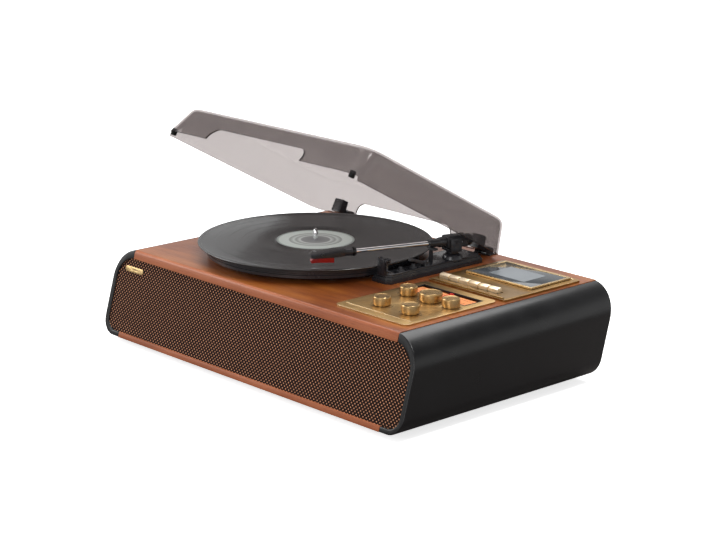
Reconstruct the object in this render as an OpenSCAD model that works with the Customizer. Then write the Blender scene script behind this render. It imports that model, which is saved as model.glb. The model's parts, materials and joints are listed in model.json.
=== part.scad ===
// Stereo record player with a tape deck and a radio in one leaning wooden cabinet.
// Origin: middle of the footprint, on the surface it stands on. +X right, +Y to the back, +Z up.

/* [Cabinet] */
// Width over both end caps
body_w = 562; // [550:1:574]
// Depth of the top, front crest to rear edge
body_d = 337; // [335:1:342]
// Height of the cabinet above its base plate
body_h = 111; // [109:1:114]
// How far the top leans back over the bottom
lean = 31; // [26:1:33]
// Width of the wooden top and bottom boards
wood_w = 492; // [488:1:496]
// Thickness of the wooden top board
board_t = 11; // [10:0.5:12]
// Corner radius of the end caps at the top
cap_top_r = 40; // [36:1:44]
// Corner radius of the end caps at the bottom
cap_bottom_r = 22; // [18:1:26]
// Height of the rubber feet
foot_h = 4; // [3:0.5:5]

/* [Turntable] */
// Left-right place of the spindle
spindle_x = -75; // [-77:1:-73]
// Front-back place of the spindle
spindle_y = 7; // [5:1:9]
// Diameter of the long-playing record
record_d = 302; // [300:0.5:303]
// Diameter of the spindle
spindle_d = 7.2; // [7.1:0.05:7.25]
// Height of the record's label above the deck
record_rise = 20; // [19:0.5:21]
// Diameter of the platter
platter_d = 280; // [270:1:290]

/* [Tonearm] */
// Left-right place of the tonearm pivot
pivot_x = 83; // [82:0.5:84]
// Front-back place of the tonearm pivot
pivot_y = 97; // [96:0.5:98]
// Height of the tilt axis above the deck
pivot_rise = 33; // [32:0.5:34]
// How far the arm is swung over the record, from straight ahead
arm_swing = 13.4; // [12:0.1:15]
// How far the lift holds the arm up
arm_lift = 1.6; // [1.5:0.1:1.8]
// Length of the arm from the pivot to the headshell
arm_len = 148; // [146:1:150]
// Inward bend of the headshell
head_bend = 21.2; // [20:0.2:24]

/* [Lid] */
// Width of the lid at its rim
lid_w = 366; // [362:1:368]
// Depth of the lid at its rim
lid_d = 302; // [298:1:304]
// Height of the lid
lid_h = 45; // [44:0.5:47]
// Angle the lid stands open
lid_open = 28.4; // [20:0.1:40]
// Wall thickness of the lid
lid_t = 2.5; // [2:0.1:3]

/* [Controls] */
// Diameter of the small knobs
knob_d = 22; // [20:0.5:24]
// Diameter of the tuning knob
tuning_d = 28; // [26:0.5:29]
// Height of the knobs
knob_h = 11; // [10:0.5:12]
// Spacing of the tape keys
key_pitch = 16.5; // [16:0.1:16.7]

/* [Hidden] */

$fn = 64;
far = 600;                              // longer than anything it cuts
gap = 0.3;                              // air between pieces that move past each other
plate_t = 4;
screw_spots = [[-235, -135], [235, -135], [-235, 115], [235, 115]];
base_z = foot_h + plate_t;
deck_z = base_z + body_h;
lean_angle = atan(lean / body_h);
cap_wall = 3;
rim_deep = 8;                           // depth of the rims around the grille and the back
slat_t = 6.5;                           // thickness of the bottom board
open_w = body_w - 14;                   // opening inside the rims
open_low = base_z + slat_t;
open_high = deck_z - board_t;
open_top_r = cap_top_r - 10;
open_bottom_r = cap_bottom_r - 6;
nose_r = 5;                             // rounding of the top board's front crest

record_top = deck_z + record_rise;
record_low = record_top - 2.2;
ring_r = 80;                            // drive ring under the platter
motor_r = 104;                          // spindle to motor
motor_angle = 140;
motor_x = spindle_x + motor_r * cos(motor_angle);
motor_y = spindle_y + motor_r * sin(motor_angle);
pulley_r = 7;
belt_z = deck_z + 8;
belt_h = 4;

arm_z = deck_z + pivot_rise;
arm_top = deck_z + 11;                  // top of the tonearm base
base_right = 96;
rest_x = 81;
rest_y = -22;
clip_x = rest_x + 8.6;
clip_z = arm_z - 4;
cue_z = 3;                              // height of the cue lever's axis above the tonearm base
lift_r = 30;                            // pivot to the lift bar
tube_r = 3;
collar_r = 5.4;                         // collar where the arm tube enters its cradle
lift_top = arm_z - collar_r + lift_r * sin(arm_lift) - gap;

hinge_y = 173.3;
hinge_z = deck_z + 6;
rim_z = deck_z + 1;                     // rim height of the closed lid
lid_x = 1 + spindle_x;
lid_back = 167.5;
front_gap = 5;                          // finger gap under the lid's front wall
lid_shoulder = 9;                       // height of the lid's rounded shoulder
wall_lean = 6;                          // how far the lid's rear wall leans in
hinge_xs = [-198, 65];
pin_r = 2.5;
notch_x = spindle_x - 6;
notch_w = 180;

panel_x0 = 115;
panel_x1 = 236;
panel_y0 = -133;
panel_y1 = 19;
panel_z = deck_z + 2;
dial_y = -10.5;
pot_z = deck_z - 12;                    // top of the control board's potentiometers
knob_z = panel_z + 0.6;
shaft_r = 3;
rear_row = -41;
front_row = -95;
dial_box = [100, 32];
dial_x = 175;
dial_z = deck_z - 0.2;                  // top of the dial scale

tape_x0 = 111;
tape_x1 = 241;
tape_y0 = 25;
tape_y1 = 162;
tape_z = deck_z + 2.5;
key_x0 = tape_x0 + 6;
key_y = 40;
key_d = 8;
door_x0 = 120;
door_x1 = 231;
door_y0 = 82;
door_y1 = 156;
door_z = tape_z + gap;
door_t = 2;
door_pin_y = 158;
door_pin_z = tape_z - 0.8;
well_z = deck_z - 17;                   // floor of the cassette well
reel_gap = 42.5;                        // standard spacing of a cassette's hubs

jack_z = 45;
jack_xs = [150, 180, 200];              // power inlet, then the two line outputs

speaker_x = 200;
speaker_z = 62;
speaker_r = 38;

function front_y(z) = -(body_d + lean) / 2 + lean * (z - base_z) / body_h;
function rear_y(z) = front_y(z) + body_d;

// ---------- shared shapes ----------

// Front view outline with round corners, larger at the top
module outline(w, low, high, top_r, bottom_r) {
    square_x = w / 2;
    translate([-square_x, low + bottom_r]) square([w, high - low - top_r - bottom_r]);
    translate([top_r - square_x, high - top_r]) square([w - 2 * top_r, top_r]);
    translate([bottom_r - square_x, low]) square([w - 2 * bottom_r, bottom_r]);
    for (side = [-1, 1]) {
        translate([side * (square_x - top_r), high - top_r]) circle(top_r);
        translate([side * (square_x - bottom_r), low + bottom_r]) circle(bottom_r);
    }
}

module along_y() rotate([90, 0, 0]) linear_extrude(far, center = true) children();

module along_x(w) rotate([90, 0, 90]) linear_extrude(w, center = true) children();

// Leaning slab between two distances behind the front face
module slab(near, back)
    along_x(far) polygon([
        [front_y(0) + near, 0], [front_y(0) + back, 0],
        [front_y(far) + back, far], [front_y(far) + near, far]]);

module body_outline(inset) outline(body_w - 2 * inset, base_z + inset, deck_z - inset,
    cap_top_r - inset, cap_bottom_r - inset);

module opening_outline() outline(open_w, open_low, open_high, open_top_r, open_bottom_r);

// Leaning sheet that fills the opening between the rims
module infill(near, back) intersection() {
    along_y() opening_outline();
    slab(near, back);
}

module box(low, high) translate(low) cube(high - low);

module rod(r, low, high) translate([0, 0, low]) cylinder(r = r, h = high - low);

// Plate with round corners in plan
module round_plate(x0, y0, x1, y1, low, high, r) translate([0, 0, low]) linear_extrude(high - low) {
    translate([x0 + r, y0]) square([x1 - x0 - 2 * r, y1 - y0]);
    translate([x0, y0 + r]) square([x1 - x0, y1 - y0 - 2 * r]);
    for (x = [x0 + r, x1 - r], y = [y0 + r, y1 - r]) translate([x, y]) circle(r);
}

// ---------- cabinet ----------

module top_board() color("sienna") {
    crest_z = deck_z - nose_r;
    crest_y = front_y(crest_z) + nose_r / cos(lean_angle);
    difference() {
        along_x(wood_w) polygon(concat(
            [[rear_y(deck_z), deck_z], [rear_y(open_high), open_high], [front_y(open_high), open_high]],
            [for (turn = [90 - lean_angle:-(90 - lean_angle) / 8:0])
                [crest_y - nose_r * sin(turn), crest_z + nose_r * cos(turn)]]));
        translate([spindle_x, spindle_y, 0]) rod(8, 0, far);
        translate([motor_x, motor_y, 0]) rod(12, 0, far);
        translate([pivot_x, pivot_y, 0]) rod(9, 0, far);
        translate([lift_place().x, lift_place().y, 0]) rod(4, 0, far);
        box([121, -127, 0], [230, 13, far]);
        box([115, 31, 0], [236.5, 160, far]);
    }
}

module bottom_board() color("sienna") difference() {
    intersection() {
        box([-wood_w / 2, -far, base_z], [wood_w / 2, far, open_low]);
        slab(0, body_d);
    }
    for (spot = screw_spots) translate([spot.x, spot.y, 0]) rod(1.9, 0, base_z + 5);
}

module end_cap() difference() {
    intersection() {
        along_y() body_outline(0);
        slab(0, body_d);
        box([wood_w / 2, -far, 0], [body_w, far, far]);
    }
    intersection() {
        along_y() body_outline(cap_wall);
        slab(rim_deep, body_d - rim_deep);
    }
    intersection() {
        along_y() opening_outline();
        slab(-1, body_d + 1);
    }
}

module right_cap() color("#1d1e22") end_cap();

module left_cap() color("#1d1e22") mirror([1, 0, 0]) end_cap();

// Turns a shape drawn on the X axis plane to face out of the leaning front
module on_front(x, z, behind) translate([x, front_y(z) + behind, z])
    rotate([90 - lean_angle, 0, 0]) children();

module grille_board() color("#2a1c14") difference() {
    infill(3, rim_deep);
    for (x = [-speaker_x, speaker_x]) on_front(x, speaker_z, 0) rod(speaker_r, -20, 20);
}

module grille_cloth() color("#4a3226") infill(2.2, 3);

module badge() color("gold") on_front(-247, 94, 2.2) difference() {
    union() {
        translate([-9, -3.5, 0]) cube([30, 7, 1.4]);
        translate([-9, 0, 0]) rod(3.5, 0, 1.4);
        translate([21, 0, 0]) rod(3.5, 0, 1.4);
    }
    translate([6, 0, 0.9]) rod(1.6, 0, 1);
}

module back_panel() color("#202020") difference() {
    infill(body_d - rim_deep, body_d - 4);
    for (x = [-204:12:-60], z = [34, 80]) translate([x, 100, z]) rotate([-90, 0, 0]) rod(2, 0, 120);
    for (x = jack_xs) translate([x, 100, jack_z]) rotate([-90, 0, 0]) rod(4.5, 0, 120);
}

module base_plate() color("#161616") difference() {
    round_plate(-256, -152, 256, 132, foot_h, base_z, 14);
    for (spot = screw_spots) translate([spot.x, spot.y, 0]) rod(2, 0, far);
}

module feet() color("#101010") for (x = [-215, 215], y = [-125, 105]) translate([x, y, 0])
    rotate_extrude() polygon([[0, 0], [9, 0], [10, 1], [10, foot_h], [0, foot_h]]);

module screws() color("silver") for (spot = screw_spots) translate([spot.x, spot.y, 0]) {
    rod(1.9, foot_h - 0.4, base_z + 5);
    rod(3.6, foot_h - 1.8, foot_h);
}

// ---------- sound ----------

module speaker_frame(x) on_front(x, speaker_z, rim_deep) mirror([0, 0, 1]) {
    rotate_extrude() polygon([[speaker_r, 0], [47, 0], [47, 2.5], [speaker_r + 1, 2.5],
        [21, 24], [21, 26], [19, 26], [19, 24], [speaker_r - 1, 2]]);
    rotate_extrude() polygon([[0, 26], [26, 26], [26, 38], [0, 38]]);
}

module speaker_cone(x) on_front(x, speaker_z, rim_deep) mirror([0, 0, 1])
    rotate_extrude() polygon([[0, 14], [9, 11.5], [10, 17], [34, 2.2], [36, 1], [36.6, 1.8], [34, 3.4],
        [10, 18.6], [0, 18.6]]);

module left_speaker() color("#3a3a3c") speaker_frame(-speaker_x);
module right_speaker() color("#3a3a3c") speaker_frame(speaker_x);
module left_cone() color("#111111") speaker_cone(-speaker_x);
module right_cone() color("#111111") speaker_cone(speaker_x);

module main_board() color("darkgreen") {
    difference() {
        box([-60, 20, open_low + 8], [110, 120, open_low + 9.6]);
        for (x = [-54, 104], y = [26, 114]) translate([x, y, 0]) rod(1.6, 0, 60);
    }
    for (x = [-54, 104], y = [26, 114]) translate([x, y, 0]) difference() {
        rod(4, open_low, open_low + 8);
        rod(1.2, open_low + 2, open_low + 9);
    }
    for (x = [-30, -12]) translate([x, 95, 0]) rod(8, open_low + 9.6, open_low + 34);
    box([20, 40, open_low + 9.6], [60, 48, open_low + 34]);
    for (x = [-40, -10, 70]) box([x, 60, open_low + 9.6], [x + 18, 74, open_low + 12]);
}

module rear_jacks() color("#2b2b2b") {
    back = rear_y(jack_z) - rim_deep;
    difference() {
        union() {
            intersection() {
                box([140, back - 22, jack_z - 9], [212, far, jack_z + 9]);
                slab(0, body_d - rim_deep);
            }
            translate([jack_xs[0], back - 3, jack_z]) rotate([-90, 0, 0]) rod(4.4, 0, 8);
            for (i = [1, 2]) translate([jack_xs[i], back - 3, jack_z]) rotate([-90, 0, 0]) rod(4.2, 0, 14);
        }
        translate([jack_xs[0], back - 18, jack_z]) rotate([-90, 0, 0]) rod(3.2, 0, 40);
        for (i = [1, 2]) translate([jack_xs[i], back, jack_z]) rotate([-90, 0, 0]) rod(1.7, 0, 40);
    }
}

// ---------- drive ----------

module motor() color("silver") translate([motor_x, motor_y, 0]) difference() {
    union() {
        rod(18, open_high - 25, open_high - 2);
        round_plate(-26, -26, 26, 26, open_high - 2, open_high, 5);
        rod(4, open_high, open_high + 4);
    }
    rod(1.05, open_high - 20, far);
}

module motor_pulley() color("goldenrod") translate([motor_x, motor_y, 0]) {
    rod(1, open_high - 18, belt_z - 3);
    rod(pulley_r + 2, belt_z - 3, belt_z - 2);
    rod(pulley_r, belt_z - 2, belt_z + 5);
    rod(pulley_r + 2, belt_z + 5, belt_z + 6);
}

// Outline of a loop around the drive ring and the pulley, which lies at the right
module loop(grow) {
    turn = acos((ring_r - pulley_r) / motor_r);
    polygon(concat(
        [for (i = [0:60]) let (a = turn + i * (360 - 2 * turn) / 60) (ring_r + grow) * [cos(a), sin(a)]],
        [for (i = [0:20]) let (a = i * turn / 10 - turn)
            [motor_r, 0] + (pulley_r + grow) * [cos(a), sin(a)]]));
}

module drive_belt() color("#111111") translate([spindle_x, spindle_y, belt_z]) rotate([0, 0, motor_angle])
    linear_extrude(belt_h) difference() {
        loop(gap + 1.2);
        loop(gap + 0.2);
    }

module platter_bearing() color("goldenrod") translate([spindle_x, spindle_y, 0]) difference() {
    union() {
        rod(8, deck_z - 24, deck_z);
        rod(16, deck_z, deck_z + 2);
    }
    rod(spindle_d / 2 + 0.05, 0, far);
}

module platter() color("#17171a") translate([spindle_x, spindle_y, 0]) rotate_extrude($fn = 96) {
    plate_low = record_low - 3;
    translate([spindle_d / 2, plate_low]) square([platter_d / 2 - spindle_d / 2, 3]);
    translate([spindle_d / 2, deck_z + 2.4]) square([12 - spindle_d / 2, plate_low - deck_z - 2.4]);
    translate([ring_r - 4, deck_z + 6]) square([4, plate_low - deck_z - 6]);
    translate([platter_d / 2 - 4, deck_z + 5]) square([4, plate_low - deck_z - 5]);
}

module spindle() color("silver") translate([spindle_x, spindle_y, 0]) rotate_extrude() polygon([
    [0, deck_z - 23], [spindle_d / 2, deck_z - 23], [spindle_d / 2, record_top + 9],
    [spindle_d / 2 - 0.3, record_top + 10], [2, record_top + 13.6], [1.2, record_top + 14.6],
    [0, record_top + 15]]);

module record() color("#0b0b0c") translate([spindle_x, spindle_y, 0]) rotate_extrude($fn = 128) polygon([
    [spindle_d / 2, record_low], [record_d / 2 - 0.8, record_low], [record_d / 2, record_low + 0.8],
    [record_d / 2, record_top - 0.9], [record_d / 2 - 0.8, record_top - 0.1],
    [record_d / 2 - 4, record_top - 0.1], [record_d / 2 - 6, record_top - 0.6], [52, record_top - 0.6],
    [50, record_top], [spindle_d / 2, record_top]]);

// ---------- tonearm ----------

// Plan of the tonearm base, from the rest post to the rear
module base_plan(inset) polygon([
    [66 + inset, -26 + inset], [base_right - 6 - inset, -26 + inset], [base_right - inset, -20 + inset],
    [base_right - inset, 138 - inset], [base_right - 4 - inset, 142 - inset],
    [58 + inset, 142 - inset], [46 + inset, 128 - inset], [46 + inset, 92], [67 + inset, 60],
    [71 + inset, 30], [71 + inset, -12 - inset], [66 + inset, -12 - inset]]);

module arm_base() color("#141416") difference() {
    union() {
        translate([0, 0, deck_z]) linear_extrude(5) base_plan(0);
        translate([0, 0, deck_z + 5]) linear_extrude(3) base_plan(1.5);
        translate([0, 0, deck_z + 8]) linear_extrude(arm_top - deck_z - 8) base_plan(3.5);
        translate([pivot_x, pivot_y, 0]) rotate_extrude() polygon([
            [0, arm_top - 1], [13.2, arm_top - 1], [13, arm_top + 1], [11.6, arm_top + 4.5],
            [9, arm_top + 6.5], [0, arm_top + 6.5]]);
        difference() {
            box([rest_x - 6.3, rest_y - 3, arm_top - 1], [rest_x + 6.3, rest_y + 3, arm_z - 1.2]);
            box([rest_x - tube_r - 0.5, -far, arm_z - tube_r + 0.4], [rest_x + tube_r + 0.5, far, far]);
        }
        box([rest_x + 6.2, rest_y + gap, clip_z - 3], [clip_x + 2.2, rest_y + 3, clip_z + 2.4]);
        for (x = [81.6, 88.8]) box([x, 41, arm_top - 1], [x + 1.6, 49, arm_top + 5]);
    }
    translate([pivot_x, pivot_y, 0]) rod(4.05, 0, far);
    translate([lift_place().x, lift_place().y, 0]) rod(2.6, 0, far);
    translate([80, 45, arm_top + cue_z]) rotate([0, 90, 0]) rod(1.25, 0, 20);
    translate([clip_x, rest_y + 1.5, clip_z]) rotate([90, 0, 0]) rod(1.05, -10, 10);
    box([81, -6, arm_top - 3], [89, 14, arm_top + 1]);
    box([81, 18, arm_top - 3], [89, 34, arm_top + 1]);
}

// Centre of the lift post, under the arm
function lift_place() = [pivot_x - lift_r * sin(20), pivot_y - lift_r * cos(20)];

// Swinging frame of the arm: straight ahead is -Y
module at_pivot() translate([pivot_x, pivot_y, arm_z]) rotate([0, 0, -arm_swing]) children();

// Tilting frame of the arm
module at_arm() at_pivot() rotate([-arm_lift, 0, 0]) children();

module at_head() at_arm() translate([0, -arm_len, 0]) rotate([0, 0, -head_bend]) children();

module arm_yoke() color("#17171a") at_pivot() difference() {
    union() {
        rod(4, deck_z - arm_z - 16, -9.5);
        rod(8, arm_top - arm_z + 7, -9.5);
        box([-11.2, -9, -12], [11.2, 7, -9]);
        for (side = [-1, 1]) translate([side * 10, 0, 0]) box([-1.2, -9, -10], [1.2, 7, 4.5]);
    }
    rotate([0, 90, 0]) rod(1.55, -30, 30);
}

module arm_cradle() color("#1b1b1e") at_arm() difference() {
    union() {
        translate([0, 18, 0]) rotate([90, 0, 0]) linear_extrude(30) polygon([
            [-8.4, -6.5], [8.4, -6.5], [8.4, 4.5], [6, 8], [-6, 8], [-8.4, 4.5]]);
        rotate([90, 0, 0]) rod(6, 12, 22);
        rotate([90, 0, 0]) rod(collar_r, 22, 36);
        rotate([0, 90, 0]) rod(1.5, -12, 12);
    }
    rotate([90, 0, 0]) rod(tube_r, 20, 40);
}

module arm_tube() color("silver") at_arm() rotate([90, 0, 0]) difference() {
    rod(tube_r, 20, arm_len);
    rod(tube_r - 0.7, 19, arm_len - 10);
}

module counterweight() color("#1b1b1e") at_arm() translate([0, 18, 0]) rotate([-90, 0, 0])
    rotate_extrude() polygon([[0, 0], [7.8, 0], [7.8, 4.5], [6.2, 8], [3.5, 10], [0, 10.5]]);

shell_roof = [[-40, -3.1], [-20, 1.4]];  // underside of the sloping headshell

module headshell() color("#151517") difference() {
    at_head() difference() {
        union() {
            rotate([90, 0, 0]) rod(5.2, -3, 9);
            intersection() {
                translate([0, 0, -8]) linear_extrude(16) polygon([
                    [-5, -6], [5, -6], [9, -14], [9, -44], [6.5, -48], [-6.5, -48], [-9, -44], [-9, -14]]);
                along_x(20) polygon([[-6, 4.5], [-6, -4.5], [-48, -7], [-48, -3.2], [-40, -1.5], [-20, 3]]);
            }
        }
        along_x(15.2) polygon(concat([[-13, -9], [-46, -9], [-46, -4.4]], shell_roof, [[-13, 1.4]]));
    }
    at_arm() rotate([90, 0, 0]) rod(tube_r, arm_len - 20, arm_len);
}

module cartridge() color("firebrick") at_head() {
    along_x(14.4) polygon(concat([[-40, -12], [-20, -12]], [shell_roof[1], shell_roof[0]]));
    along_x(10) polygon([[-39, -6], [-39, -12.5], [-47.5, -13.4], [-48.5, -11], [-44, -6]]);
    translate([0, -46, -14.4]) cylinder(r1 = 0.3, r2 = 0.6, h = 1.6, $fn = 16);
}

// Flips over the parked arm; it rests folded down outside the post
module rest_clip() color("#17171a") translate([clip_x, rest_y, clip_z]) rotate([0, 178, 0]) {
    rotate([90, 0, 0]) {
        rod(2, gap / 2, 3);
        rod(1, -2.6, 1);
    }
    box([-0.9, -3, 0], [0.9, -gap / 2, 13.6]);
    box([-8.4, -3, 12.2], [0.9, -gap / 2, 13.6]);
}

module cue_lever() color("#1e1e22") translate([0, 45, arm_top + cue_z]) rotate([90, 0, 90]) {
    rod(1.2, 82, 90);
    rod(2.4, 83.6, 88.4);
    translate([0, 0, 83.6]) linear_extrude(4.8)
        polygon([[-1, -2], [1.5, -1], [0, 2.2], [-20, 9], [-26, 9.4], [-26.4, 7], [-20, 5.6]]);
}

module cue_lift() color("#1b1b1e") {
    translate([lift_place().x, lift_place().y, 0]) rod(2.5, deck_z - 14, lift_top - 2);
    translate([pivot_x, pivot_y, lift_top - 2.6]) rotate([0, 0, 226]) rotate_extrude(angle = 46)
        translate([lift_r - 3, 0]) square([6, 2.6]);
}

module slide_switch(y0, y1) {
    box([82, y0 + 3, arm_top - 3 + gap], [88, y1 - 3, arm_top + 1]);
    box([83.5, (y0 + y1) / 2 - 2, arm_top + 1], [86.5, (y0 + y1) / 2 + 2, arm_top + 5]);
}

module speed_switch() color("#2a2a2e") slide_switch(-4, 12);
module stop_switch() color("#2a2a2e") slide_switch(19, 33);

// ---------- radio and amplifier controls ----------

knob_spots = [[146, rear_row], [157, front_row], [204.5, front_row], [217, rear_row], [183.7, rear_row]];

module control_panel() color("#b08d4f") difference() {
    union() {
        round_plate(panel_x0, panel_y0, panel_x1, panel_y1, deck_z, panel_z, 8);
        translate([0, 0, panel_z]) linear_extrude(0.5)
            polygon([[panel_x0 + 6, panel_y0 + 14], [panel_x1 - 6, panel_y0 + 14],
                [panel_x1 - 6, panel_y0 + 14.8], [panel_x0 + 6, panel_y0 + 14.8]]);
    }
    for (spot = knob_spots) translate([spot.x, spot.y, 0]) rod(shaft_r + 0.6, 0, far);
    box([dial_x - dial_box.x / 2, dial_y - dial_box.y / 2, 0],
        [dial_x + dial_box.x / 2, dial_y + dial_box.y / 2, far]);
}

module control_board() color("darkgreen") {
    difference() {
        box([119, -125, pot_z - 9], [232, -26, pot_z - 7.4]);
        for (spot = knob_spots) translate([spot.x, spot.y, 0]) rod(shaft_r + 0.5, 0, far);
    }
    for (x = [121, 227], y = [-125, -37]) box([x, y, pot_z - 7.4], [x + 3, y + 4, deck_z]);
    for (spot = knob_spots) translate([spot.x, spot.y, 0]) difference() {
        union() {
            rod(8, pot_z - 7.4, pot_z);
            rod(4.5, pot_z, pot_z + 6);
        }
        rod(shaft_r + 0.05, 0, far);
    }
}

module dial_scale() color("#e08a50") {
    box([dial_x - dial_box.x / 2 - 3, dial_y - dial_box.y / 2 - 3, dial_z - 1.5],
        [dial_x + dial_box.x / 2 + 3, dial_y + 12.5, dial_z]);
    for (x = [-1, 1], y = [-13, 10]) translate([dial_x + x * (dial_box.x / 2 + 1.6), dial_y + y, 0])
        rod(1.2, dial_z, deck_z);
}

// Lies over the scale and reaches round its rear edge to the tuning drive
module dial_pointer() color("#c03020") {
    box([dial_x - 0.6, dial_y - 12, dial_z + gap], [dial_x + 0.6, dial_y + 15.2, dial_z + 1.2]);
    box([dial_x - 3, dial_y + 13.2, dial_z - 8], [dial_x + 3, dial_y + 15.2, dial_z + 1.2]);
}

module knob(spot, d) translate([spot.x, spot.y, 0]) {
    rotate_extrude($fn = 96) polygon([
        [0, knob_z], [d / 2 - 1.2, knob_z], [d / 2 - 1.2, knob_z + 1], [d / 2 - 0.3, knob_z + 1.4],
        [d / 2, knob_z + knob_h - 1.2], [d / 2 - 1.1, knob_z + knob_h], [d / 2 - 1.6, knob_z + knob_h - 0.3],
        [0, knob_z + knob_h - 0.3]]);
    rod(shaft_r, pot_z - 6, knob_z);
}

module volume_knob() color("#c9a564") knob(knob_spots[0], knob_d);
module bass_knob() color("#c9a564") knob(knob_spots[1], knob_d);
module treble_knob() color("#c9a564") knob(knob_spots[2], knob_d);
module source_knob() color("#c9a564") knob(knob_spots[3], knob_d);
module tuning_knob() color("#c9a564") knob(knob_spots[4], tuning_d);

// ---------- tape deck ----------

module tape_panel() color("#b08d4f") {
    difference() {
        union() {
            round_plate(tape_x0, tape_y0, tape_x1, tape_y1, deck_z, tape_z, 5);
            box([tape_x0 + 5, tape_y0 + 1, deck_z], [tape_x1 - 5, tape_y0 + 4, tape_z + 2]);
        }
        box([key_x0 - 1, key_y - 2, 0], [key_x0 + 6 * key_pitch + 0.5, key_y + key_d + 2, far]);
        box([door_x0 - 1, door_y0 - 1, 0], [door_x1 + 1, tape_y1 - 1.6, far]);
    }
    translate([0, door_pin_y, door_pin_z]) rotate([0, 90, 0]) rod(1, door_x0 - 1, door_x1 + 1);
}

module key(index) translate([key_x0 + index * key_pitch, key_y, 0]) {
    w = key_pitch - 1.5;
    translate([w / 2, 0, 0]) along_x(w) polygon([
        [0, tape_z - 3], [key_d, tape_z - 3], [key_d, tape_z + 5], [key_d - 1.2, tape_z + 6],
        [2, tape_z + 5.6], [0, tape_z + 4.4]]);
    box([w / 2 - 3, 2, deck_z - 20], [w / 2 + 3, 6, tape_z - 3]);
}

module record_key() color("#d7b26a") key(0);
module play_key() color("#d7b26a") key(1);
module rewind_key() color("#d7b26a") key(2);
module forward_key() color("#d7b26a") key(3);
module stop_key() color("#d7b26a") key(4);
module pause_key() color("#d7b26a") key(5);

reel_spots = [[175.5 - reel_gap / 2, 124], [175.5 + reel_gap / 2, 124]];

module tape_deck() color("#2c2c30") {
    difference() {
        box([115.4, 33, well_z - 10], [236, 159.6, deck_z]);
        box([121, 84, well_z], [230, 157, far]);
        box([121, 150, deck_z - 2], [230, far, far]);
        box([key_x0 - 1, 35, well_z - 4], [key_x0 + 6 * key_pitch + 0.5, 56, far]);
        box([121, 58, well_z - 8], [230, 82, deck_z - 2]);
        for (i = [0:5]) box([key_x0 + (i + 0.5) * key_pitch - 4.2, key_y + 1, 0],
            [key_x0 + (i + 0.5) * key_pitch + 3.3, key_y + 7, far]);
        for (spot = reel_spots) translate([spot.x, spot.y, 0]) rod(3.05, 0, far);
    }
}

module reel(spot) translate([spot.x, spot.y, 0]) {
    rod(3, well_z - 12, well_z + 0.3);
    rod(6, well_z + 0.3, well_z + 1.5);
    rod(3.6, well_z + 1.5, well_z + 10);
    for (turn = [0:60:300]) rotate([0, 0, turn]) box([3, -0.6, well_z + 1.5], [4.7, 0.6, well_z + 8]);
}

module left_reel() color("#e4e2da") reel(reel_spots[0]);
module right_reel() color("#e4e2da") reel(reel_spots[1]);

module cassette_door() color("#c4a062") difference() {
    union() {
        round_plate(door_x0, door_y0, door_x1, door_y1, door_z, door_z + door_t, 3);
        for (x = [135, 196]) {
            box([x, door_y1 - 2, door_z], [x + 20, door_pin_y, door_z + 1.4]);
            translate([x, door_pin_y, door_pin_z]) rotate([0, 90, 0]) rod(1.9, 0, 20);
        }
    }
    box([door_x0 + 4, door_y0 + 4, 0], [door_x1 - 4, door_y1 - 4, far]);
    translate([0, door_pin_y, door_pin_z]) rotate([0, 90, 0]) rod(1.05, 0, 400);
}

module door_window() color("#30363c", 0.6)
    box([door_x0 + 4, door_y0 + 4, door_z + 0.2], [door_x1 - 4, door_y1 - 4, door_z + 1.7]);

// ---------- lid ----------

// Opens a shape drawn in the closed place
module opened() translate([0, hinge_y, hinge_z]) rotate([-lid_open, 0, 0])
    translate([0, -hinge_y, -hinge_z]) children();

module lid_layer(side, front, back, z, r) {
    x0 = lid_x - lid_w / 2 + side + r;
    x1 = lid_x + lid_w / 2 - side - r;
    y0 = lid_back - lid_d + front + r;
    y1 = lid_back - back - r;
    for (x = [x0, x1], y = [y0, y1]) translate([x, y, z]) cylinder(r = r, h = 0.1, $fn = 32);
}

module lid_form(t) hull() {
    lid_layer(t, t, t, rim_z - (t > 0 ? 0.1 : 0), 22 - t);
    lid_layer(5.5 + t, 18 + t, wall_lean + t, rim_z + lid_h - lid_shoulder, 22 - t);
    lid_layer(7.5 + t, 21 + t, 8 + t, rim_z + lid_h - 3.5 - t, 21 - t);
    lid_layer(12 + t, 25 + t, 12 + t, rim_z + lid_h - 0.1 - t, 18 - t);
}

// Long rounded opening in the front and rear walls, through which the record's edge shows
module notch() translate([notch_x, 0, 0]) along_y() {
    r = 14;
    top = rim_z + front_gap + 17;
    translate([-notch_w / 2, rim_z - 2]) square([notch_w, top - r - rim_z + 2]);
    translate([r - notch_w / 2, rim_z]) square([notch_w - 2 * r, top - rim_z]);
    for (side = [-1, 1]) translate([side * (notch_w / 2 - r), top - r]) circle(r);
}

module lid() color("#8a7f7c", 0.6) opened() {
    difference() {
        lid_form(0);
        lid_form(lid_t);
        notch();
        box([-far, -far, 0], [far, lid_back - lid_d + 14, rim_z + front_gap]);
        for (x = hinge_xs) box([x - 10.5, 150, rim_z - 1], [x + 10.5, 172, rim_z + 8]);
    }
}

module hinge_bases() color("#141416") for (x = hinge_xs) translate([x, 0, 0]) {
    box([-14, 168.6, deck_z], [14, 182, deck_z + 1.2]);
    for (side = [-1, 1]) difference() {
        union() {
            translate([side * 10.5, hinge_y, hinge_z]) rotate([0, 90, 0]) rod(4.5, -2, 2);
            box([side * 10.5 - 2, hinge_y - 4.5, deck_z], [side * 10.5 + 2, hinge_y + 4.5, hinge_z]);
        }
        translate([0, hinge_y, hinge_z]) rotate([0, 90, 0]) rod(pin_r + 0.05, -30, 30);
    }
}

// Inner face of the lid's rear wall at a height above its rim
function wall_y(h) = lid_back - lid_t - 0.1 - wall_lean * h / (lid_h - lid_shoulder);

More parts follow.
